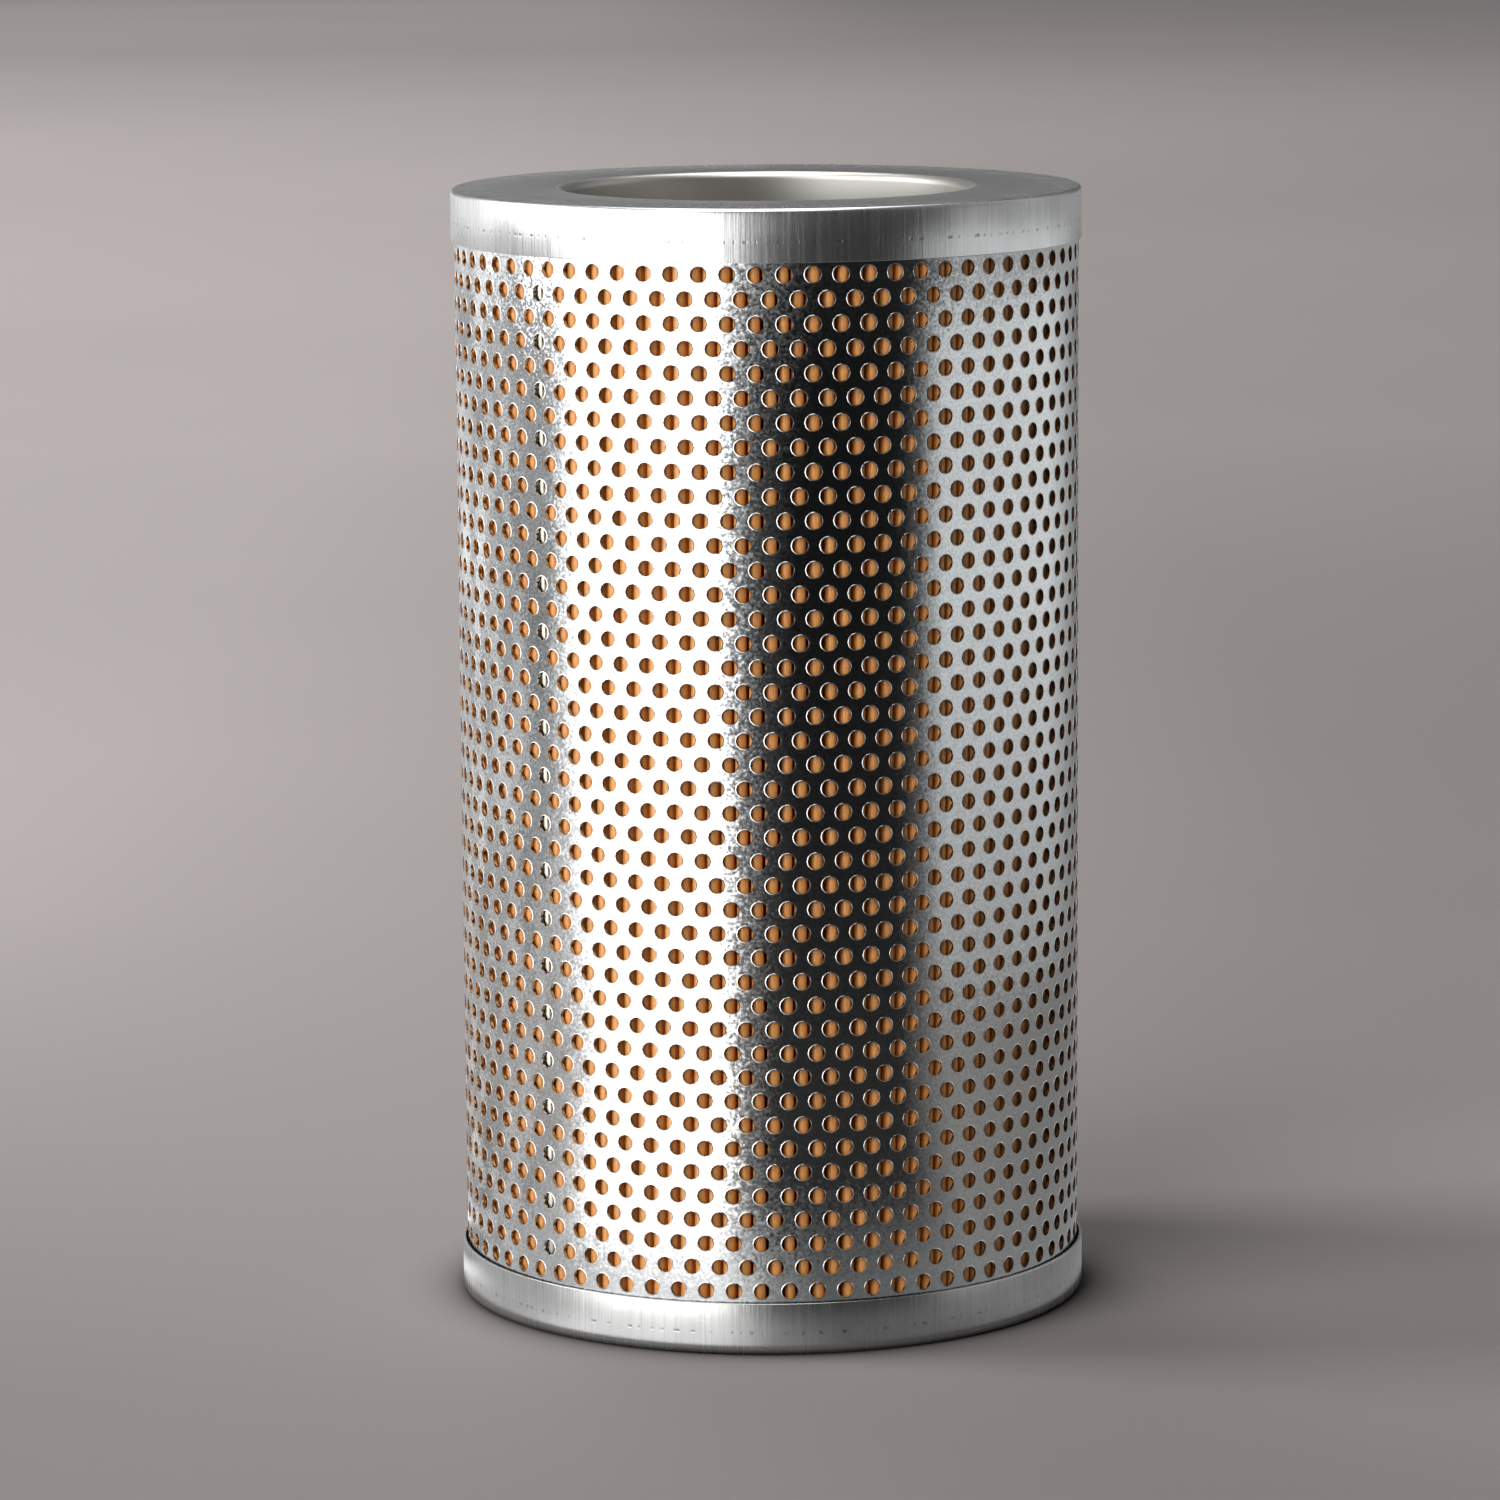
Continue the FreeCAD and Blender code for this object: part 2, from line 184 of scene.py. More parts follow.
class StageSettings(PropertyGroup):
    """Camera, floor and light"""

    distance: FloatProperty(name="Distance", description="Camera to the axis", default=1.4082, **LENGTH)
    height: FloatProperty(name="Height", description="Camera above the floor", default=0.3456, **LENGTH)
    pitch: FloatProperty(
        name="Pitch", description="Camera's tilt down", default=math.radians(9.077), subtype="ANGLE"
    )
    yaw: FloatProperty(
        name="Yaw", description="Camera's turn to the left", default=math.radians(0.176), subtype="ANGLE"
    )
    roll: FloatProperty(
        name="Roll", description="Camera's roll", default=math.radians(-0.384), subtype="ANGLE"
    )
    lens: FloatProperty(name="Lens", description="Focal length in millimetres", default=153.9)
    floor_colour: FloatVectorProperty(
        name="Floor", description="Floor paper", default=(0.78, 0.712, 0.692), **COLOUR
    )
    key_power: FloatProperty(name="Key", description="Watts of the soft key light", default=20.0)
    side_power: FloatProperty(name="Side", description="Watts of the light at the left", default=20.0)
    background_power: FloatProperty(
        name="Background", description="Watts of the light over the floor behind the filter", default=80.0
    )


SETTINGS = {
    "filter_guard": GuardTubeSettings,
    "filter_core": CentreTubeSettings,
    "filter_paper": PaperSettings,
    "filter_caps": CapSettings,
    "filter_stage": StageSettings,
}


# Meshes

def finish_mesh(bm, name):
    """Welds the mesh, points its faces outwards and makes it an object."""
    bmesh.ops.remove_doubles(bm, verts=bm.verts, dist=WELD)
    bmesh.ops.recalc_face_normals(bm, faces=bm.faces)
    for face in bm.faces:
        face.smooth = True
    mesh = bpy.data.meshes.new(name)
    bm.to_mesh(mesh)
    bm.free()
    piece = bpy.data.objects.new(name, mesh)
    bpy.context.scene.collection.objects.link(piece)
    return piece


def dress(piece, node, material):
    """The piece stands for a packed solid and takes its material."""
    piece.data.materials.clear()
    piece.data.materials.append(material)
    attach(piece, "root")
    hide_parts(node)


def keep_sharp(piece, degrees):
    """Shades the piece smooth, apart from edges sharper than the angle."""
    bpy.context.view_layer.objects.active = piece
    for other in bpy.context.selected_objects:
        other.select_set(False)
    piece.select_set(True)
    bpy.ops.object.shade_smooth_by_angle(angle=math.radians(degrees))
    piece.select_set(False)


def verts_of(geom):
    return [part for part in geom if isinstance(part, bmesh.types.BMVert)]


def merge_into(bm, part):
    """Moves all that a part holds into the whole mesh."""
    made = bpy.data.meshes.new("part")
    part.to_mesh(made)
    part.free()
    bm.from_mesh(made)
    bpy.data.meshes.remove(made)


def spin(bm, geom, angle, steps, climb=0.0, **how):
    """Spins geometry about the upright axis, and lifts it by the climb with each step."""
    place = {"cent": (0, 0, 0), "axis": (0, 0, 1), "dvec": (0, 0, climb)}
    bmesh.ops.spin(bm, geom=geom, angle=angle, steps=steps, **place, **how)


def repeat(bm, faces, turn, copies, climb=0.0):
    """Repeats faces, each time a turn further round the axis and a climb higher."""
    if copies > 1:
        spin(bm, faces, turn * (copies - 1), copies - 1, climb, use_duplicate=True)


class Perforation:
    """Staggered round holes in a sheet that is rolled into an upright tube.

    Flat points have x round the tube, y up and z out of the face that shows. The sheet's other
    face is at z = -sheet, and side is 1 where the face that shows is the outer one.
    """

    def __init__(self, radius, side, low, high, settings, first_turn):
        self.radius = radius - side * settings.burr
        self.side = side
        self.low = low
        self.high = high
        self.sheet = settings.sheet - settings.burr
        self.rows = settings.rows
        self.row_pitch = settings.row_pitch
        self.columns = settings.around - settings.plain
        self.turn = FULL_TURN / settings.around
        self.pitch = self.radius * self.turn
        self.first_row = (low + high - (settings.rows - 1) * settings.row_pitch) / 2
        self.first_turn = first_turn
        self.hole = settings.hole / 2
        self.rim = self.hole + settings.rim
        self.burr = settings.burr
        self.last = self.columns - 1
        self.band_right = self.centre(self.columns, 0).x
        self.band_left = self.centre(-1, 0).x + self.pitch / 2

    def centre(self, column, row):
        shift = 0.5 if row % 2 else 0.0
        return Vector(((column + shift) * self.pitch, self.first_row + row * self.row_pitch, 0))

    def rim_points(self, column, row, steps, back):
        """Points of a hole's rim, a twelfth of a turn to a step, and every second one on the back."""
        reach = self.hole / math.cos(math.pi / 6) if back else self.rim
        depth = -self.sheet if back else 0.0
        points = []
        for step in steps:
            if back and step % 2:
                continue
            angle = step * FULL_TURN / RIM_SIDES
            offset = Vector((reach * math.cos(angle), reach * math.sin(angle), depth))
            points.append(self.centre(column, row) + offset)
        return points

    def edge_point(self, x, y, back):
        return Vector((x, y, -self.sheet if back else 0.0))

    def wrap(self, bm):
        """Rolls flat vertices round the tube's axis."""
        for vert in bm.verts:
            turn = self.first_turn + vert.co.x / self.radius
            reach = self.radius + self.side * vert.co.z
            vert.co = Vector((reach * math.sin(turn), -reach * math.cos(turn), vert.co.y))


def flat_face(bm, points, back):
    """One flat face, turned over on the sheet's back."""
    verts = [bm.verts.new(point) for point in points]
    return bm.faces.new(verts[::-1] if back else verts)


def web_up(p, column, row, back):
    """Web over the gap between two holes, up to the hole of the next row."""
    above = column + (1 if row % 2 else 0)
    return (
        p.rim_points(column, row, (2, 1, 0), back)
        + p.rim_points(column + 1, row, (6, 5, 4), back)
        + p.rim_points(above, row + 1, (10, 9, 8), back)
    )


def web_down(p, column, row, back):
    """Web over one hole, under the gap between two holes of the next row."""
    above = column + (1 if row % 2 else 0)
    return (
        p.rim_points(column, row, (4, 3, 2), back)
        + p.rim_points(above, row + 1, (8, 7, 6), back)
        + p.rim_points(above - 1, row + 1, (0, 11, 10), back)
    )


def web_foot(p, column, row, back):
    """Web from the lowest row down to the tube's end."""
    left = p.edge_point(p.centre(column, row).x, p.low, back)
    right = p.edge_point(p.centre(column + 1, row).x, p.low, back)
    return (
        p.rim_points(column, row, LOW_RIGHT[back], back)
        + [left, right]
        + p.rim_points(column + 1, row, LOW_LEFT[back], back)
    )


def web_head(p, column, row, back):
    """Web from the highest row up to the tube's end."""
    left = p.edge_point(p.centre(column, row).x, p.high, back)
    right = p.edge_point(p.centre(column + 1, row).x, p.high, back)
    return (
        p.rim_points(column + 1, row, HIGH_LEFT[back], back)
        + [right, left]
        + p.rim_points(column, row, HIGH_RIGHT[back], back)
    )


def hole_wall(bm, p, column, row):
    """Raised rim and wall of one punched hole."""
    rings = []
    twelfth = FULL_TURN / RIM_SIDES
    places = (
        (RIM_SIDES, p.rim, 0.0),
        (RIM_SIDES, p.hole, -p.burr),
        (RIM_SIDES // 2, p.hole / math.cos(twelfth), p.sheet),
    )
    for sides, reach, depth in places:
        place = Matrix.Translation(p.centre(column, row) - Vector((0, 0, depth)))
        if sides == RIM_SIDES // 2:
            place = place @ Matrix.Rotation(twelfth, 4, "Z")
        made = bmesh.ops.create_circle(bm, segments=sides, radius=reach, matrix=place)
        verts = set(made["verts"])
        rings.append([edge for edge in bm.edges if verts.issuperset(edge.verts)])
    faces = []
    for upper, lower in zip(rings, rings[1:]):
        faces += bmesh.ops.bridge_loops(bm, edges=upper + lower)["faces"]
    return faces


def add_course(bm, p, row, kinds):
    """One row's holes, webs or ends: made flat for one column, rolled, and repeated round."""
    for kind in kinds:
        course = bmesh.new()
        start = 1 if kind is web_down and row % 2 == 0 else 0
        if kind is hole_wall:
            faces = hole_wall(course, p, start, row)
        else:
            faces = [flat_face(course, kind(p, start, row, back), back) for back in (False, True)]
        p.wrap(course)
        repeat(course, faces, p.turn, p.columns if kind is hole_wall else p.columns - 1)
        merge_into(bm, course)


def seam_sides(p, row, back):
    """Web from the last and the first hole of a row to the plain band, up to the next row."""
    last = p.last
    low = p.first_row + row * p.row_pitch
    high = low + p.row_pitch
    if row % 2:
        after = p.rim_points(last, row + 1, (0, 11, 10), back) + p.rim_points(last, row, (4, 3, 2, 1), back)
        before = p.rim_points(0, row, (6, 5, 4), back) + p.rim_points(0, row + 1, (10, 9, 8, 7, 6), back)
    else:
        after = p.rim_points(last, row + 1, (0, 11, 10, 9, 8), back) + p.rim_points(last, row, (2, 1), back)
        before = p.rim_points(0, row, (6, 5, 4, 3, 2), back) + p.rim_points(0, row + 1, (8, 7, 6), back)
    ends = [p.edge_point(p.band_right, height, back) for height in (low, high)]
    yield p.rim_points(last, row, (0,), back) + ends + after
    starts = [p.edge_point(p.band_left, height, back) for height in (low, high)]
    yield starts[:1] + before + starts[1:]


def seam_corners(p, back):
    """Web from the four corner holes to the plain band and the tube's ends."""
    last, right, left = p.last, p.band_right, p.band_left
    top = p.rows - 1
    top_height = p.first_row + top * p.row_pitch
    under = p.centre(last, 0).x
    yield p.rim_points(last, 0, LOW_RIGHT[back], back) + [
        p.edge_point(under, p.low, back),
        p.edge_point(right, p.low, back),
        p.edge_point(right, p.first_row, back),
    ]
    yield p.rim_points(last, top, (0,), back) + [
        p.edge_point(right, top_height, back),
        p.edge_point(right, p.high, back),
        p.edge_point(under, p.high, back),
    ] + p.rim_points(last, top, HIGH_RIGHT[back][:-1], back)
    yield [p.edge_point(left, p.low, back), p.edge_point(0, p.low, back)] + p.rim_points(
        0, 0, LOW_LEFT[back], back
    ) + [p.edge_point(left, p.first_row, back)]
    yield [p.edge_point(left, top_height, back)] + p.rim_points(
        0, top, HIGH_LEFT[back], back
    ) + [p.edge_point(0, p.high, back), p.edge_point(left, p.high, back)]


def plain_band(bm, p):
    """Plain band between the last and the first column, with the shallow groove of the butt seam."""
    right = p.band_right
    left = p.band_left + FULL_TURN * p.radius
    groove = 0.35 * MM
    middle = (left + right) / 2
    places = [
        (right, 0.0), ((right + middle) / 2, 0.0), (middle - groove, 0.0), (middle, 0.4 * groove),
        (middle + groove, 0.0), ((left + middle) / 2, 0.0), (left, 0.0),
    ]
    heights = [p.low] + [p.first_row + row * p.row_pitch for row in range(p.rows)] + [p.high]
    for back in (False, True):
        verts = [bm.verts.new(p.edge_point(right, height, back)) for height in heights]
        edges = [bm.edges.new(pair) for pair in zip(verts, verts[1:])]
        for (x, dip), (next_x, next_dip) in zip(places, places[1:]):
            made = bmesh.ops.extrude_edge_only(bm, edges=edges)["geom"]
            moved = verts_of(made)
            edges = [part for part in made if isinstance(part, bmesh.types.BMEdge)]
            edges = [edge for edge in edges if set(moved).issuperset(edge.verts)]
            sink = 0.0 if back else dip - next_dip
            bmesh.ops.translate(bm, verts=moved, vec=(next_x - x, 0, sink))


def perforated_tube(name, p):
    """The whole tube as one closed mesh."""
    bm = bmesh.new()
    for row in (0, 1):
        add_course(bm, p, row, (hole_wall, web_up, web_down))
    repeat(bm, bm.faces[:], 0, (p.rows - 1) // 2, 2 * p.row_pitch)
    add_course(bm, p, p.rows - 1, (hole_wall, web_head))
    add_course(bm, p, 0, (web_foot,))
    band = bmesh.new()
    for back in (False, True):
        for row in range(p.rows - 1):
            for points in seam_sides(p, row, back):
                flat_face(band, points, back)
        for points in seam_corners(p, back):
            flat_face(band, points, back)
    plain_band(band, p)
    p.wrap(band)
    merge_into(bm, band)
    bmesh.ops.remove_doubles(bm, verts=bm.verts, dist=WELD)
    for height in (p.low, p.high):
        rim = [
            edge
            for edge in bm.edges
            if edge.is_boundary and all(abs(vert.co.z - height) < WELD for vert in edge.verts)
        ]
        bmesh.ops.bridge_loops(bm, edges=rim)
    bmesh.ops.triangulate(bm, faces=bm.faces)
    piece = finish_mesh(bm, name)
    roll_normals(piece.data, p)
    return piece


def roll_normals(mesh, p):
    """Normals of a true cylinder on the web that shows, and of a bead on each hole's raised rim."""
    foot, crest = math.radians(44), math.radians(8)
    count = len(mesh.vertices)
    places = np.empty(count * 3)
    mesh.vertices.foreach_get("co", places)
    places = places.reshape(-1, 3)
    outward = places.copy()
    outward[:, 2] = 0
    reach = np.linalg.norm(outward, axis=1)
    outward *= (p.side / reach)[:, None]
    height = p.side * (reach - p.radius)
    own = np.empty(count * 3)
    mesh.vertex_normals.foreach_get("vector", own)
    own = own.reshape(-1, 3)
    downhill = own - (own * outward).sum(1)[:, None] * outward
    downhill /= np.maximum(np.linalg.norm(downhill, axis=1), 1e-9)[:, None]
    half_burr = 0.5 * p.burr
    on_crest = height > half_burr
    downhill[on_crest] *= -1
    tilt = np.where(on_crest, crest, foot)[:, None]
    bead = np.cos(tilt) * outward + np.sin(tilt) * downhill

    corners = np.empty(len(mesh.loops), int)
    mesh.loops.foreach_get("vertex_index", corners)
    totals = np.empty(len(mesh.polygons), int)
    mesh.polygons.foreach_get("loop_total", totals)
    starts = np.concatenate(([0], np.cumsum(totals)[:-1]))
    lowest = np.repeat(np.minimum.reduceat(height[corners], starts), totals)
    highest = np.repeat(np.maximum.reduceat(height[corners], starts), totals)
    flat = np.empty(len(mesh.polygons) * 3)
    mesh.polygons.foreach_get("normal", flat)
    normals = np.repeat(flat.reshape(-1, 3), totals, axis=0)
    on_web = (lowest > -half_burr) & (highest < half_burr)
    on_rim = (lowest > -half_burr) & (highest > half_burr)
    normals[on_web] = outward[corners][on_web]
    normals[on_rim] = bead[corners][on_rim]
    mesh.normals_split_custom_set(normals.tolist())


# Materials

def material(name):
    """A new node material, with its tree and its surface shader."""
    made = bpy.data.materials.new(name)
    made.use_nodes = True
    tree = made.node_tree
    return made, tree, tree.nodes["Principled BSDF"]


def feed(tree, made, values):
    """Gives a node's inputs their numbers, or links from other nodes' outputs."""
    for key, value in values.items():
        if isinstance(value, bpy.types.NodeSocket):
            tree.links.new(value, made.inputs[key])
        else:
            made.inputs[key].default_value = value


def node(tree, kind, values=None, **settings):
    """A new node with its settings and inputs."""
    made = tree.nodes.new(kind)
    for key, value in settings.items():
        setattr(made, key, value)
    feed(tree, made, values or {})
    return made


def maths(tree, operation, first, second=0.0, third=0.0):
    return node(tree, "ShaderNodeMath", {0: first, 1: second, 2: third}, operation=operation).outputs[0]


def vectors(tree, operation, *inputs, **scale):
    """Vector maths: its two outputs, a vector and a number."""
    values = {**dict(enumerate(inputs)), **scale}
    return node(tree, "ShaderNodeVectorMath", values, operation=operation).outputs


def noise(tree, place, scale, detail, roughness=0.5, output="Fac"):
    values = {"Vector": place, "Scale": scale, "Detail": detail, "Roughness": roughness}
    return node(tree, "ShaderNodeTexNoise", values).outputs[output]


def ramp(tree, factor, stops):
    """A colour ramp whose stops are (place, colour or grey)."""
    made = node(tree, "ShaderNodeValToRGB", {"Fac": factor})
    elements = made.color_ramp.elements
    while len(elements) < len(stops):
        elements.new(0.5)
    for element, (place, colour) in zip(elements, stops):
        element.position = place
        grey = (colour,) * 3 if isinstance(colour, (int, float)) else tuple(colour)
        element.color = (*grey, 1.0)
    return made.outputs["Color"]


def rise(tree, factor, low, high):
    """Nothing up to the low place, and all from the high one."""
    return ramp(tree, factor, [(low, 0.0), (high, 1.0)])


def fall(tree, factor, low, high):
    """All up to the low place, and nothing from the high one."""
    return ramp(tree, factor, [(low, 1.0), (high, 0.0)])


def mixed(tree, factor, first, second, blend="MIX"):
    """Two tones mixed, each a colour or a link."""
    tones = [tone if isinstance(tone, bpy.types.NodeSocket) else (*tone, 1.0) for tone in (first, second)]
    values = {0: factor, 6: tones[0], 7: tones[1]}
    return node(tree, "ShaderNodeMix", values, data_type="RGBA", blend_type=blend).outputs[2]


def shaded(tree, tone, shade):
    """One tone times another."""
    return mixed(tree, 1.0, tone, shade, "MULTIPLY")


def tinted(colour, share):
    return tuple(min(1.0, part * share) for part in colour)


def relief(tree, height, distance, strength=1.0, **normal):
    """The surface's normal with a bumpy skin."""
    values = {"Height": height, "Strength": strength, "Distance": distance, **normal}
    return node(tree, "ShaderNodeBump", values).outputs["Normal"]


def object_place(tree):
    return node(tree, "ShaderNodeTexCoord").outputs["Object"]


def round_place(tree):
    """The turn round the axis from the photographed side, the height, and the whole place."""
    place = object_place(tree)
    x, y, z = node(tree, "ShaderNodeSeparateXYZ", {0: place}).outputs
    turn = maths(tree, "ARCTAN2", x, maths(tree, "MULTIPLY", y, -1.0))
    return turn, z, place


def turn_share(tree, turn):
    """The turn as a share of a full one, with a half at the front."""
    return maths(tree, "MULTIPLY_ADD", turn, 1 / FULL_TURN, 0.5)


def axis_reach(tree, place):
    """Distance from the filter's axis."""
    flat = vectors(tree, "MULTIPLY", place, (1.0, 1.0, 0.0))[0]
    return vectors(tree, "LENGTH", flat)["Value"]


def leaning(tree, crystals, lean):
    """The surface's normal, tilted a little its own way on each crystal of a texture."""
    way = vectors(tree, "SUBTRACT", crystals, (0.5, 0.5, 0.5))[0]
    way = vectors(tree, "SCALE", way, Scale=lean)[0]
    flat = node(tree, "ShaderNodeNewGeometry").outputs["Normal"]
    return vectors(tree, "NORMALIZE", vectors(tree, "ADD", flat, way)[0])[0]


def zinc(name, colour, roughness, lean):
    """Zinc-coated sheet: small crystals, each leaning its own way, that break up the reflections.

    The crystals lean less at the right, from 25 to 108 degrees round from the front.
    """
    made, tree, shader = material(name)
    turn, z, place = round_place(tree)
    crystals = node(tree, "ShaderNodeTexVoronoi", {"Vector": place, "Scale": 2300.0, "Randomness": 1.0})
    parts = node(tree, "ShaderNodeSeparateColor", {0: crystals.outputs["Color"]})
    flakes = noise(tree, place, 1300.0, 1.0, 0.6, "Color")
    spangle = noise(tree, place, 800.0, 2.0, 0.6)
    wave = noise(tree, place, 150.0, 2.0)
    broad = noise(tree, place, 40.0, 2.0)
    stops = [(0.0, tinted(colour, 0.88)), (0.5, colour), (1.0, tinted(colour, 1.10))]
    tone = ramp(tree, parts.outputs[0], stops)
    tone = shaded(tree, tone, ramp(tree, broad, [(0.3, 0.95), (0.7, 1.0)]))
    rough = ramp(tree, parts.outputs[1], [(0.0, roughness * 0.75), (1.0, roughness * 1.25)])
    height = maths(tree, "MULTIPLY_ADD", wave, 2.6, spangle)
    calm = ramp(tree, turn_share(tree, turn), [(0.50, 1.0), (0.57, 0.40), (0.80, 0.40), (0.88, 1.0)])
    facets = leaning(tree, flakes, maths(tree, "MULTIPLY", calm, lean))
    normal = relief(tree, height, 0.012 * MM, Normal=facets)
    feed(tree, shader, {"Base Color": tone, "Metallic": 1.0, "Roughness": rough, "Normal": normal})
    return made


def clip_tin(name, colour):
    """Dull tinned strip, hazy enough to take soft light beside its sharp highlight."""
    made, tree, shader = material(name)
    dull = noise(tree, object_place(tree), 300.0, 3.0)
    tone = ramp(tree, dull, [(0.3, tinted(colour, 0.85)), (0.7, tinted(colour, 1.1))])
    feed(tree, shader, {"Base Color": tone, "Metallic": 1.0, "Roughness": 0.2})
    return made


def cap_zinc(name, colour, tick_height):
    """Drawn zinc-coated sheet: upright draw streaks, and a broken line that the die left on the skirt."""
    made, tree, shader = material(name)
    turn, z, place = round_place(tree)
    # One unit round the skirt is a millimetre, and one upwards 56 mm, which draws the streaks out
    around = maths(tree, "MULTIPLY", turn, 69.0)
    upwards = maths(tree, "MULTIPLY", z, 18.0)
    streak_place = node(tree, "ShaderNodeCombineXYZ", {"X": around, "Y": upwards, "Z": 0.0}).outputs[0]
    streaks = noise(tree, streak_place, 1.5, 4.0, 0.7)
    swathe = noise(tree, streak_place, 0.16, 2.0)
    cloud = noise(tree, place, 120.0, 3.0)
    fine = noise(tree, place, 1700.0, 2.0)

    way = node(tree, "ShaderNodeNewGeometry").outputs["True Normal"]
    slope = maths(tree, "ABSOLUTE", node(tree, "ShaderNodeSeparateXYZ", {0: way}).outputs[2])
    # A ramp ends at 1, so the reach is in tenths of a metre
    reach = maths(tree, "DIVIDE", axis_reach(tree, place), 0.1)
    skirt = rise(tree, reach, 0.55, 0.62)
    inside = fall(tree, reach, 0.452, 0.468)
    upright = maths(tree, "MULTIPLY", fall(tree, slope, 0.25, 0.75), skirt)

    tick_place = node(tree, "ShaderNodeCombineXYZ", {"X": around, "Y": 0.0, "Z": 0.0}).outputs[0]
    dashes = rise(tree, noise(tree, tick_place, 0.55, 2.0), 0.52, 0.58)
    present = ramp(tree, noise(tree, tick_place, 0.12, 1.0), [(0.40, 0.25), (0.60, 1.0)])
    off_line = maths(tree, "ABSOLUTE", maths(tree, "SUBTRACT", z, tick_height))
    line = fall(tree, maths(tree, "DIVIDE", off_line, 0.55 * MM), 0.3, 0.7)
    ticks = maths(tree, "MULTIPLY", dashes, present)
    ticks = maths(tree, "MULTIPLY", ticks, maths(tree, "MULTIPLY", line, upright))

    stops = [(0.34, tinted(colour, 0.86)), (0.5, colour), (0.68, tinted(colour, 1.08))]
    streaked = maths(tree, "MULTIPLY", upright, ramp(tree, swathe, [(0.35, 0.35), (0.6, 1.0)]))
    tone = mixed(tree, streaked, colour, ramp(tree, streaks, stops))
    tone = shaded(tree, tone, ramp(tree, cloud, [(0.3, 0.90), (0.65, 1.0)]))
    # Inside the necks the metal takes a fixed warmer tone, darker than the top cap's: painted shade of the
    # recess.
    tone = mixed(tree, inside, tone, (0.47, 0.46, 0.43))
    tone = mixed(tree, maths(tree, "MULTIPLY", ticks, 0.65), tone, (0.06, 0.065, 0.065))
    neck_rough = ramp(tree, inside, [(0.0, 0.22), (1.0, 0.36)])
    rough = mixed(tree, skirt, neck_rough, ramp(tree, streaks, [(0.3, 0.22), (0.7, 0.29)]))
    height = maths(tree, "MULTIPLY", maths(tree, "MULTIPLY", streaks, streaked), 4.2)
    height = maths(tree, "MULTIPLY_ADD", fine, 0.6, height)
    height = maths(tree, "MULTIPLY_ADD", maths(tree, "MULTIPLY", cloud, upright), 4.0, height)
    height = maths(tree, "MULTIPLY_ADD", ticks, -5.0, height)
    normal = relief(tree, height, 0.012 * MM)
    feed(tree, shader, {"Base Color": tone, "Metallic": 0.95, "Roughness": rough, "Normal": normal})
    return made


def filter_paper(name, colour):
    """Resin-soaked paper: a faint gloss, fine fibres, slow changes of tone, and light that soaks in."""
    made, tree, shader = material(name)
    place = object_place(tree)
    fibre = noise(tree, place, 2600.0, 4.0, 0.7)
    cloud = noise(tree, place, 160.0, 3.0)
    tone = ramp(tree, cloud, [(0.3, tinted(colour, 0.86)), (0.7, tinted(colour, 1.08))])
    tone = shaded(tree, tone, ramp(tree, fibre, [(0.3, 0.82), (0.65, 1.0)]))
    normal = relief(tree, fibre, 0.03 * MM, 0.7)
    feed(tree, shader, {"Base Color": tone, "Roughness": 0.44, "Specular IOR Level": 0.75, "Normal": normal})
    soak = {"Subsurface Weight": 0.2, "Subsurface Radius": (1.0, 0.35, 0.12), "Subsurface Scale": 0.6 * MM}
    feed(tree, shader, soak)
    return made


def cured_resin(name):
    """Dark cured adhesive with a slightly uneven skin."""
    made, tree, shader = material(name)
    swell = noise(tree, object_place(tree), 180.0, 3.0)
    tone = ramp(tree, swell, [(0.3, (0.050, 0.042, 0.034)), (0.7, (0.085, 0.074, 0.060))])
    normal = relief(tree, swell, 0.2 * MM, 0.5)
    feed(tree, shader, {"Base Color": tone, "Roughness": 0.45, "Normal": normal})
    return made


# Pieces

class FILTER_OT_guard_tube(Operator):
    """Make the perforated outer tube"""

    bl_idname = "filter.guard_tube"
    bl_label = "Outer tube"

    def execute(self, context):
        s = context.scene.filter_guard
        columns = s.around - s.plain
        turn = FULL_TURN / s.around
        first = s.first_turn - turn * round((s.first_turn + (columns - 0.5) / 2 * turn) / turn)
        sheet = Perforation(TUBE_HIGH.x, 1, TUBE_LOW.z, TUBE_HIGH.z, s, first)
        piece = perforated_tube("outer_tube_sheet", sheet)
        dress(piece, "outer_tube", zinc("guard_zinc", s.colour, roughness=0.13, lean=0.20))
        return {"FINISHED"}


class FILTER_OT_centre_tube(Operator):
    """Make the perforated centre tube, whose inner face shows"""

    bl_idname = "filter.centre_tube"
    bl_label = "Centre tube"

    def execute(self, context):
        s = context.scene.filter_core
        inside = CORE_HIGH.x - s.sheet
        turn = FULL_TURN / s.around
        first = -turn * (s.around - s.plain - 0.5) / 2
        sheet = Perforation(inside, -1, CORE_LOW.z, CORE_HIGH.z, s, first)
        piece = perforated_tube("centre_tube_sheet", sheet)
        dress(piece, "centre_tube", zinc("core_zinc", s.colour, roughness=0.30, lean=0.24))
        return {"FINISHED"}


def arc(reach, centre, degrees):
    """Points of a bend seen from above, whose centre lies this far in front of the axis."""
    turns = [math.radians(each) for each in degrees]
    return [Vector((reach * math.cos(turn), -centre - reach * math.sin(turn), 0)) for turn in turns]


def fold_line(s, offset, crest_reach):
    """Half of one pleat, from its crest to its valley: points at an offset from the paper's middle."""
    valley = 0.45 * MM
    crest_bend = arc(s.crest - s.thickness / 2 + offset, crest_reach - s.crest, (90, 62, 34, 6))
    valley_bend = arc(valley - offset, PAPER_INNER + valley + s.thickness / 2, (186, 228, 270))
    half_turn = Matrix.Rotation(FULL_TURN / s.pleats / 2, 3, "Z")
    return crest_bend + [half_turn @ point for point in valley_bend]


def flat_strip(bm, lines):
    """A strip of faces between two lines of points."""
    outer, inner = [[bm.verts.new(point) for point in line] for line in lines]
    for corners in zip(outer, outer[1:], inner[1:], inner):
        bm.faces.new(corners)


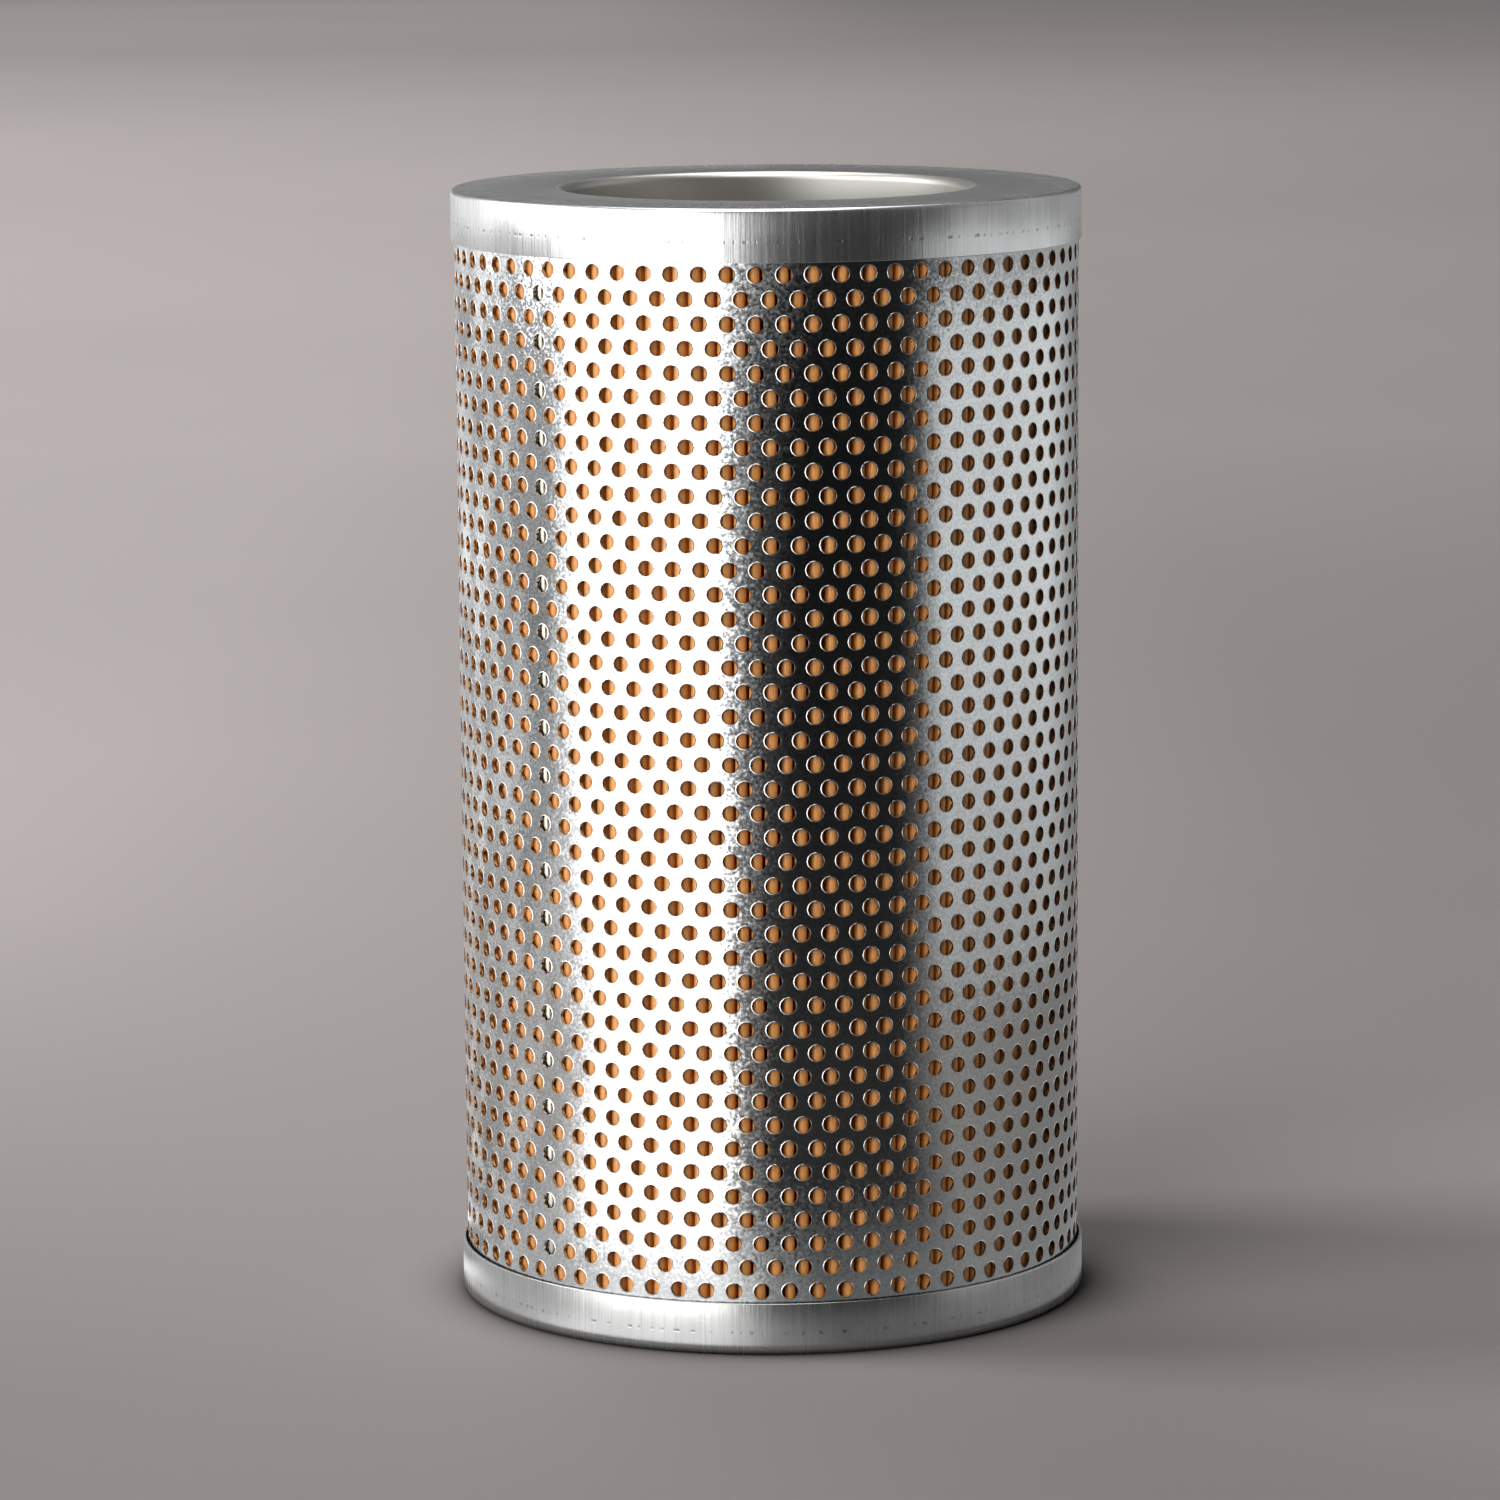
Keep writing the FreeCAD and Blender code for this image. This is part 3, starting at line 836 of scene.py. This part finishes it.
def stand_up(bm):
    """Raises a flat strip from the paper's foot to its head."""
    bmesh.ops.translate(bm, verts=bm.verts, vec=(0, 0, PAPER_LOW.z))
    grown = bmesh.ops.extrude_face_region(bm, geom=bm.faces[:], use_keep_orig=True)["geom"]
    bmesh.ops.translate(bm, verts=verts_of(grown), vec=(0, 0, PAPER_HIGH.z - PAPER_LOW.z))


def uneven_folds(bm):
    """Small differences between folds: at the crests up to 0.38 mm sideways and 0.12 mm inwards."""
    for vert in bm.verts:
        turn = math.atan2(vert.co.x, -vert.co.y)
        reach = math.hypot(vert.co.x, vert.co.y)
        share = max(0.0, (reach - PAPER_INNER) / (PAPER_HIGH.x - PAPER_INNER))
        sway = math.sin(vert.co.z * 41 + math.sin(turn * 9) * 2.1) + math.sin(vert.co.z * 97 + turn * 23)
        lean = math.sin(turn * 47) + math.sin(turn * 31 + 1.3)
        draw = 0.5 * (1 + math.sin(turn * 37 + vert.co.z * 13))
        shift = (0.10 * sway + 0.09 * lean) * MM * share / max(reach, MM)
        reach -= draw * 0.12 * MM * share
        vert.co.x = reach * math.sin(turn + shift)
        vert.co.y = -reach * math.cos(turn + shift)


class FILTER_OT_paper(Operator):
    """Make the pleated paper with its rounded folds"""

    bl_idname = "filter.paper"
    bl_label = "Pleated paper"

    def execute(self, context):
        s = context.scene.filter_paper
        pitch = FULL_TURN / s.pleats
        seam_reach = PAPER_HIGH.x - s.clip_sheet - 0.2 * MM
        bm = bmesh.new()
        for crest_reach, copies, first in ((PAPER_HIGH.x, s.pleats - 1, 1), (seam_reach, 1, 0)):
            fold = bmesh.new()
            flat_strip(fold, [fold_line(s, side * s.thickness / 2, crest_reach) for side in (1, -1)])
            geom = fold.verts[:] + fold.edges[:] + fold.faces[:]
            mirrored = bmesh.ops.duplicate(fold, geom=geom)["geom"]
            bmesh.ops.scale(fold, vec=(-1, 1, 1), verts=verts_of(mirrored))
            place = Matrix.Rotation(s.seam_turn + first * pitch, 3, "Z")
            bmesh.ops.rotate(fold, verts=fold.verts, matrix=place, cent=(0, 0, 0))
            repeat(fold, fold.faces[:], pitch, copies)
            merge_into(bm, fold)
        bmesh.ops.remove_doubles(bm, verts=bm.verts, dist=WELD)
        stand_up(bm)
        upright = [edge for edge in bm.edges if abs(edge.verts[0].co.z - edge.verts[1].co.z) > MM]
        bmesh.ops.subdivide_edges(bm, edges=upright, cuts=PAPER_CUTS, use_grid_fill=True)
        uneven_folds(bm)
        piece = finish_mesh(bm, "filter_paper")
        keep_sharp(piece, 50)
        dress(piece, "pleated_media", filter_paper("orange_filter_paper", s.colour))
        return {"FINISHED"}


class FILTER_OT_seam_clip(Operator):
    """Make the bent strip over the paper's two ends"""

    bl_idname = "filter.seam_clip"
    bl_label = "Seam clip"

    def execute(self, context):
        s = context.scene.filter_paper
        leg_end = -(PAPER_HIGH.x - s.clip_depth)
        lines = []
        for reach in (s.clip_half, s.clip_half - s.clip_sheet):
            bend = arc(reach, PAPER_HIGH.x - s.clip_half, range(0, 181, 15))
            lines.append([Vector((reach, leg_end, 0)), *bend, Vector((-reach, leg_end, 0))])
        bm = bmesh.new()
        flat_strip(bm, lines)
        stand_up(bm)
        bmesh.ops.rotate(bm, verts=bm.verts, matrix=Matrix.Rotation(s.seam_turn, 3, "Z"), cent=(0, 0, 0))
        piece = finish_mesh(bm, "seam_clip")
        keep_sharp(piece, 40)
        dress(piece, "media_seam_clip", clip_tin("clip_tin", s.clip_colour))
        return {"FINISHED"}


def turned_cap(name, corners, bends):
    """A drawn cap: its section turned about the axis, and its sharp rings rounded.

    bends are (radius, height, bend radius, segments).
    """
    bm = bmesh.new()
    verts = [bm.verts.new((reach, 0, height)) for reach, height in corners]
    edges = [bm.edges.new(pair) for pair in zip(verts, verts[1:] + verts[:1])]
    if corners[0][0] == 0:
        bm.edges.remove(edges.pop())
    spin(bm, verts + edges, FULL_TURN, CAP_SIDES, use_merge=True)
    bmesh.ops.remove_doubles(bm, verts=bm.verts, dist=WELD)
    bmesh.ops.recalc_face_normals(bm, faces=bm.faces)
    for reach, height, bend, segments in bends:
        ring = [
            edge
            for edge in bm.edges
            if all(
                abs(math.hypot(vert.co.x, vert.co.y) - reach) < WELD and abs(vert.co.z - height) < WELD
                for vert in edge.verts
            )
        ]
        if not ring:
            raise RuntimeError("%s has no ring to round at %.5f, %.5f" % (name, reach, height))
        bmesh.ops.bevel(
            bm, geom=ring, offset=bend, affect="EDGES", segments=segments, profile=0.5, material=-1
        )
    piece = finish_mesh(bm, name)
    keep_sharp(piece, 35)
    return piece


class FILTER_OT_caps(Operator):
    """Make the two drawn end caps"""

    bl_idname = "filter.caps"
    bl_label = "End caps"

    def execute(self, context):
        s = context.scene.filter_caps
        outside = TOP_CAP_HIGH.x
        inside = outside - s.sheet
        neck = s.neck_radius
        neck_out = neck + s.sheet
        top = TOP_CAP_HIGH.z
        under = top - s.sheet
        neck_end = top - s.neck_depth
        skirt_end = TOP_CAP_LOW.z
        die_line = skirt_end + 4.4 * MM
        corners = [
            (neck, neck_end), (neck, top), (outside, top), (outside, skirt_end),
            (inside, skirt_end), (inside, under), (neck_out, under), (neck_out, neck_end),
        ]
        bends = [
            (neck, top, s.lip, 8),
            (outside, top, s.corner, 7),
            (neck_out, under, s.lip - s.sheet, 3),
            (inside, under, s.corner - s.sheet, 2),
            (outside, skirt_end, 0.2 * MM, 3),
        ]
        piece = turned_cap("top_cap_drawn", corners, bends)
        dress(piece, "top_end_cap", cap_zinc("top_cap_zinc", s.colour, die_line))

        outside = BOTTOM_CAP_HIGH.x
        inside = outside - s.sheet
        skirt_end = BOTTOM_CAP_HIGH.z
        die_line = 5.0 * MM
        dish_bend = 0.5 * MM
        corners = [
            (0, s.dish), (neck, s.dish), (neck, 0), (outside, 0), (outside, skirt_end),
            (inside, skirt_end), (inside, s.sheet), (neck_out, s.sheet),
            (neck_out, s.dish + s.sheet), (0, s.dish + s.sheet),
        ]
        bends = [
            (neck, 0, dish_bend, 3),
            (neck_out, s.dish + s.sheet, dish_bend, 3),
            (outside, 0, s.foot, 9),
            (inside, s.sheet, s.foot - s.sheet, 3),
            (outside, skirt_end, 0.25 * MM, 3),
            (inside, skirt_end, 0.12 * MM, 2),
        ]
        piece = turned_cap("bottom_cap_drawn", corners, bends)
        # The bottom cap takes a darker copy of the cap zinc: painted shade.
        bottom_zinc_painted_shade = cap_zinc("bottom_cap_zinc", tinted(s.colour, 0.80), die_line)
        dress(piece, "bottom_end_cap", bottom_zinc_painted_shade)
        return {"FINISHED"}


class FILTER_OT_adhesive(Operator):
    """Finish the two rings of cured adhesive"""

    bl_idname = "filter.adhesive"
    bl_label = "Adhesive"

    def execute(self, context):
        resin = cured_resin("dark_resin")
        for name in ("top_adhesive", "bottom_adhesive"):
            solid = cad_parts[name]
            solid.data.materials.clear()
            solid.data.materials.append(resin)
        return {"FINISHED"}


# Stage

def camera(s):
    """The photograph's camera."""
    lens = bpy.data.cameras.new("camera")
    lens.sensor_width = 36
    lens.lens = s.lens
    holder = bpy.data.objects.new("camera", lens)
    holder.location = (0, -s.distance, s.height)
    tilt = Euler((math.pi / 2 - s.pitch, 0, s.yaw)).to_matrix()
    holder.rotation_euler = (tilt @ Matrix.Rotation(s.roll, 3, "Z")).to_euler()
    bpy.context.scene.collection.objects.link(holder)
    bpy.context.scene.camera = holder


def area_light(name, place, aim, width, height, power):
    """A soft lamp that the metal doesn't mirror."""
    data = bpy.data.lights.new(name, "AREA")
    data.shape = "RECTANGLE"
    data.size = width
    data.size_y = height
    data.energy = power
    lamp = bpy.data.objects.new(name, data)
    lamp.location = place
    lamp.rotation_euler = (Vector(aim) - Vector(place)).to_track_quat("-Z", "Y").to_euler()
    lamp.visible_glossy = False
    bpy.context.scene.collection.objects.link(lamp)


def studio_cards():
    """White, grey and black cards round, under and over the filter, seen only in the metal.

    They are the inside of a glowing drum that stands round the filter, open under its foot. Its bottom
    stands in for the floor seen in the metal, with the floor's light and shade painted in. Each round
    ramp runs once round it, from behind the filter over the left, the camera and the right.
    """
    radius = 0.45
    height = 0.85
    lift = 1.5 * MM
    opening = BOTTOM_CAP_HIGH.x + 2 * MM
    white = 4.0
    made, tree, shader = material("studio_cards")
    tree.nodes.remove(shader)
    turn, z, place = round_place(tree)
    share = turn_share(tree, turn)
    path = maths(tree, "ADD", axis_reach(tree, place), z)

    def round_ramp(stops):
        return ramp(tree, share, [(0.5 + degrees / 360, tone) for degrees, tone in stops])

    near = round_ramp([
        (-180, 0.35), (-100, 0.64), (-72, 0.72), (-58, 0.74), (-50, 1.05), (-40, 1.45), (-12, 1.45),
        (0, 0.42), (14, 0.18), (35, 0.22), (60, 0.35), (110, 0.32), (180, 0.20),
    ])
    low = round_ramp([
        (-180, 0.45), (-130, 0.58), (-104, 0.62), (-92, 0.72), (-82, 0.56), (-75, 0.66), (-67, 1.2),
        (-57, white), (-18, white), (-10, 0.36), (0, 0.04), (45, 0.035), (62, 0.36), (120, 0.30), (180, 0.20),
    ])
    high = round_ramp([
        (-180, 0.50), (-150, 0.65), (-125, 0.90), (-110, 0.74), (-97, 0.58), (-84, 0.57), (-79, 0.70),
        (-66, white), (-18, white), (-12, 0.50), (-4, 0.06), (8, 0.008), (47, 0.012), (53, 0.10),
        (62, (1.00, 1.03, 1.04)), (118, (1.05, 1.08, 1.09)), (138, 0.50), (154, 0.20), (180, 0.30),
    ])
    upper = round_ramp([
        (-180, 0.60), (-150, 0.80), (-128, 1.35), (-100, 2.1), (-84, white), (-19, white), (-6, 0.5),
        (6, 0.12), (16, 0.02), (55, 0.02), (63, 0.22), (71, 0.50), (118, 0.46), (140, 0.45), (180, 0.25),
    ])
    over = round_ramp([
        (-180, 0.165), (-150, 0.21), (-130, 0.7), (-112, 3.0), (-80, 3.2), (-35, 3.0), (-17, 0.8),
        (-5, 0.12), (38, 0.08), (70, 0.26), (110, 0.6), (132, 0.4), (150, 0.13), (180, 0.155),
    ])
    low = shaded(tree, low, (1.0, 0.97, 0.945))
    tone = mixed(tree, rise(tree, path, 0.126, 0.215), near, low)
    tone = mixed(tree, rise(tree, path, 0.40, 0.56), tone, high)
    tone = mixed(tree, rise(tree, z, 0.188, 0.196), tone, upper)
    tone = mixed(tree, rise(tree, z, 0.24, 0.28), tone, over)
    x = node(tree, "ShaderNodeSeparateXYZ", {0: place}).outputs[0]
    sideways = maths(tree, "MULTIPLY_ADD", x, 1 / (2 * radius), 0.5)
    above = ramp(tree, sideways, [(0.12, 0.3), (0.30, 3.0), (0.40, 5.0), (0.70, 3.2), (0.78, 0.2)])
    tone = mixed(tree, rise(tree, z, 0.70, 0.78), tone, above)
    flecks = ramp(tree, noise(tree, place, 30.0, 2.0), [(0.36, 0.45), (0.5, 0.95), (0.64, 2.0)])
    aside = ramp(tree, share, [(0.04, 0.0), (0.10, 1.0), (0.26, 1.0), (0.29, 0.0)])
    tone = mixed(tree, aside, tone, shaded(tree, tone, flecks))
    # Darker right at the foot and a little brighter just beyond: painted contact shade and a painted
    # highlight line in the floor seen in the metal.
    painted_contact_tone = ramp(tree, path, [(0.0715, 0.80), (0.074, 1.08), (0.088, 1.12), (0.105, 1.0)])
    glow = node(tree, "ShaderNodeEmission", {"Color": shaded(tree, tone, painted_contact_tone), "Strength": 1.0})
    tree.links.new(glow.outputs[0], tree.nodes["Material Output"].inputs["Surface"])

    bm = bmesh.new()
    bmesh.ops.create_cone(bm, cap_ends=True, segments=96, radius1=radius, radius2=radius, depth=height)
    bmesh.ops.translate(bm, verts=bm.verts, vec=(0, 0, height / 2 + lift))
    floor = min(bm.faces, key=lambda face: face.calc_center_median().z)
    bmesh.ops.inset_individual(bm, faces=[floor], thickness=radius - opening)
    ends = [face for face in bm.faces if len(face.verts) > 4]
    floor = min(ends, key=lambda face: face.calc_center_median().z)
    bmesh.ops.delete(bm, geom=[floor], context="FACES_ONLY")
    cards = finish_mesh(bm, "studio_cards")
    cards.data.materials.append(made)
    cards.visible_camera = False
    cards.visible_diffuse = False
    cards.visible_shadow = False
    cards.visible_transmission = False


def studio_floor(colour):
    """The floor: its paper is graded with depth, at the left and the right, in painted light and shade, and
    has a painted contact shadow round the foot.
    """
    front, depth = 0.2, 8.0
    shade_start, shade_width = 68 * MM, 20 * MM
    made, tree, shader = material("floor_paper")
    place = object_place(tree)
    tone = ramp(tree, noise(tree, place, 2.0, 2.0), [(0.3, tinted(colour, 0.97)), (0.7, colour)])
    x, y = node(tree, "ShaderNodeSeparateXYZ", {0: place}).outputs[:2]
    # Graded with depth, and apart at the left and the right: painted light of the lamps, and painted shadow
    # of the filter at the right.
    back = maths(tree, "DIVIDE", maths(tree, "ADD", y, front), depth)
    left = ramp(tree, back, [
        (0.0, 0.295), (0.013, 0.306), (0.04, 0.415), (0.084, 0.645), (0.12, 0.775), (0.167, 0.865),
        (0.235, 0.975), (0.34, 0.90), (0.44, 0.795), (0.62, 0.765), (0.72, 0.82), (0.86, 1.2),
    ])
    right = ramp(tree, back, [
        (0.0, 0.38), (0.028, 0.47), (0.042, 0.58), (0.084, 0.53), (0.12, 0.555), (0.167, 0.62),
        (0.24, 0.74), (0.34, 0.705), (0.44, 0.66), (0.6, 0.73), (0.72, 0.75), (0.86, 0.87),
    ])
    tone = shaded(tree, tone, mixed(tree, rise(tree, maths(tree, "ADD", x, 0.5), 0.28, 0.68), left, right))
    reach = axis_reach(tree, place)
    near_foot = maths(tree, "MULTIPLY_ADD", reach, 1 / shade_width, -shade_start / shade_width)
    # Darker round the foot: painted contact shadow.
    painted_contact_tone = ramp(tree, near_foot, [
        (0.03, 0.14), (0.07, 0.33), (0.16, 0.55), (0.28, 0.73), (0.43, 0.86), (0.6, 0.94), (0.85, 1.0),
    ])
    values = {"Base Color": shaded(tree, tone, painted_contact_tone), "Roughness": 0.9, "Specular IOR Level": 0.0}
    feed(tree, shader, values)

    bm = bmesh.new()
    bmesh.ops.create_circle(bm, cap_ends=True, segments=64, radius=14)
    floor = finish_mesh(bm, "floor")
    if floor.data.polygons[0].normal.z < 0:
        floor.data.flip_normals()
    floor.data.materials.append(made)


class FILTER_OT_stage(Operator):
    """Set the camera, the floor and the light"""

    bl_idname = "filter.stage"
    bl_label = "Stage"

    def execute(self, context):
        s = context.scene.filter_stage
        scene = context.scene
        scene.view_settings.view_transform = "Standard"
        camera(s)
        studio_floor(s.floor_colour)
        studio_cards()
        filter_middle = (0, 0, 0.12)
        area_light("key", (-0.72, -1.06, 0.66), filter_middle, 1.15, 1.1, s.key_power)
        area_light("side", (-1.44, 0.13, 0.62), filter_middle, 0.6, 0.6, s.side_power)
        area_light("background", (-1.5, 3.6, 3.0), (-1.0, 3.4, 0), 2.5, 2.5, s.background_power)

        world = bpy.data.worlds.new("studio")
        world.use_nodes = True
        background = world.node_tree.nodes["Background"]
        background.inputs["Color"].default_value = (0.93, 0.95, 1.0, 1.0)
        background.inputs["Strength"].default_value = 0.14
        scene.world = world
        return {"FINISHED"}


class FILTER_PT_panel(Panel):
    """Steps and settings of the filter element"""

    bl_idname = "FILTER_PT_panel"
    bl_label = "Filter element"
    bl_space_type = "VIEW_3D"
    bl_region_type = "UI"
    bl_category = "Filter"

    def draw(self, context):
        for step in STEPS:
            self.layout.operator(step.bl_idname)
        for holder, kind in SETTINGS.items():
            box = self.layout.box()
            box.label(text=kind.__doc__)
            for key in kind.__annotations__:
                box.prop(getattr(context.scene, holder), key)


STEPS = (
    FILTER_OT_guard_tube,
    FILTER_OT_centre_tube,
    FILTER_OT_paper,
    FILTER_OT_seam_clip,
    FILTER_OT_caps,
    FILTER_OT_adhesive,
    FILTER_OT_stage,
)


def register():
    for kind in (*SETTINGS.values(), *STEPS, FILTER_PT_panel):
        bpy.utils.register_class(kind)
    for holder, kind in SETTINGS.items():
        setattr(bpy.types.Scene, holder, PointerProperty(type=kind))


def unregister():
    for holder in SETTINGS:
        delattr(bpy.types.Scene, holder)
    for kind in (FILTER_PT_panel, *reversed(STEPS), *SETTINGS.values()):
        bpy.utils.unregister_class(kind)


def main():
    register()
    bpy.ops.filter.guard_tube()
    bpy.ops.filter.centre_tube()
    bpy.ops.filter.paper()
    bpy.ops.filter.seam_clip()
    bpy.ops.filter.caps()
    bpy.ops.filter.adhesive()
    bpy.ops.filter.stage()


if __name__ == "__main__":
    main()
